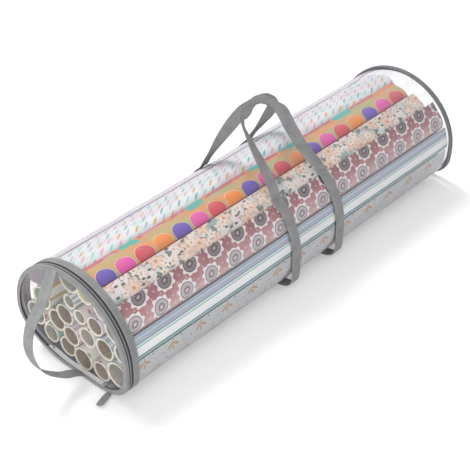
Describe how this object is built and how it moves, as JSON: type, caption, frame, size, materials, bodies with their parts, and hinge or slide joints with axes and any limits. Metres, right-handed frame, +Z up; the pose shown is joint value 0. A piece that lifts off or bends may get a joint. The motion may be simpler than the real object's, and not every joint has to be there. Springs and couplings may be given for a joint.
{
  "type": "gift wrap storage bag",
  "caption": "Clear soft storage bag for long rolls of gift wrap, with grey webbing handles and a zipped end lid.",
  "frame": {"origin": "middle of the footprint, on the floor", "axes": "+X along the bag from the zipped lid to the sewn end, +Y from the front to the rear, +Z up"},
  "size_m": [0.8754, 0.24, 0.3013],
  "materials": {
    "film": "clear flexible vinyl film, glossy",
    "trim_fabric": "grey woven polyester",
    "webbing": "grey woven webbing",
    "binding": "dark grey woven binding",
    "zip_tape": "black woven zip tape",
    "zip_polymer": "dark grey nylon coil",
    "zip_metal": "grey enamel on die-cast metal",
    "paper_silver_sprig": "silver grey paper with small gold motifs",
    "paper_striped": "paper with lavender, mint and teal stripes",
    "paper_mauve": "mauve paper with pale line motifs",
    "paper_floral": "cream paper with small blooms",
    "paper_dotted": "tan paper with large bright dots",
    "paper_pastel": "white paper with pastel strokes",
    "paper_inner": "plain white and pale papers"
  },
  "bodies": {
    "bag": {"film_tube": "film", "film_lap_seam": "film", "end_panel": "film", "end_binding": "binding", "zip_tape_body": "zip_tape", "zip_coil_body": "zip_polymer", "zip_tape_park": "zip_tape", "zip_coil_park": "zip_polymer", "zip_stop_front": "zip_metal", "zip_stop_rear": "zip_metal", "rim_band": "trim_fabric", "lid_hinge_strip": "trim_fabric", "strap_left": "webbing", "strap_right": "webbing"},
    "lid": {"lid_face_ring": "trim_fabric", "lid_window": "film", "lid_skirt": "trim_fabric", "zip_tape_lid": "zip_tape", "zip_coil_lid": "zip_polymer", "end_handle_stub_top": "webbing", "end_handle_stub_foot": "webbing"},
    "lid_loop": {"end_handle": "webbing"},
    "front_handle": {"handle_front": "webbing"},
    "back_handle": {"handle_rear": "webbing"},
    "slider": {"zip_slider": "zip_metal"},
    "pull": {"pull_tab": "webbing"},
    "rolls": {"roll_silver_sprig": "paper_silver_sprig", "roll_striped": "paper_striped", "roll_mauve": "paper_mauve", "roll_floral": "paper_floral", "roll_dotted": "paper_dotted", "roll_pastel": "paper_pastel", "roll_01": "paper_inner", "roll_02": "paper_inner", "roll_03": "paper_inner", "roll_04": "paper_inner", "roll_05": "paper_inner", "roll_06": "paper_inner", "roll_07": "paper_inner", "roll_08": "paper_inner", "roll_09": "paper_inner", "roll_10": "paper_inner", "roll_11": "paper_inner", "roll_12": "paper_inner", "roll_13": "paper_inner", "roll_14": "paper_inner"}
  },
  "joints": [
    {"name": "lid_hinge", "type": "hinge", "parent": "bag", "child": "lid", "pos_m": [-0.36395, 0, 0.009], "axis": [0, -1, 0], "range_deg": [0, 90]},
    {"name": "front_handle_hinge", "type": "hinge", "parent": "bag", "child": "front_handle", "pos_m": [0.0618, -0.0721, 0.1597], "axis": [1, 0, 0], "range_deg": [0, 150]},
    {"name": "back_handle_hinge", "type": "hinge", "parent": "bag", "child": "back_handle", "pos_m": [0.0618, 0.0817, 0.152], "axis": [-1, 0, 0], "range_deg": [0, 150]},
    {"name": "lid_loop_sway", "type": "hinge", "parent": "lid", "child": "lid_loop", "pos_m": [-0.37148, 0.01979, 0.16305], "axis": [0.0128, 0.2595, 0.9657], "range_deg": [-40, 40]},
    {"name": "slider_travel", "type": "slide", "parent": "bag", "child": "slider", "axis": [0, 0.9797, -0.2004], "range_m": [0, 0.005]},
    {"name": "pull_swing", "type": "hinge", "parent": "slider", "child": "pull", "pos_m": [-0.35405, -0.0728, 0.002], "axis": [0, -0.9797, 0.2004], "range_deg": [0, 180]},
    {"name": "rolls_shift", "type": "slide", "parent": "bag", "child": "rolls", "axis": [1, 0, 0], "range_m": [0, 0.008]}
  ]
}
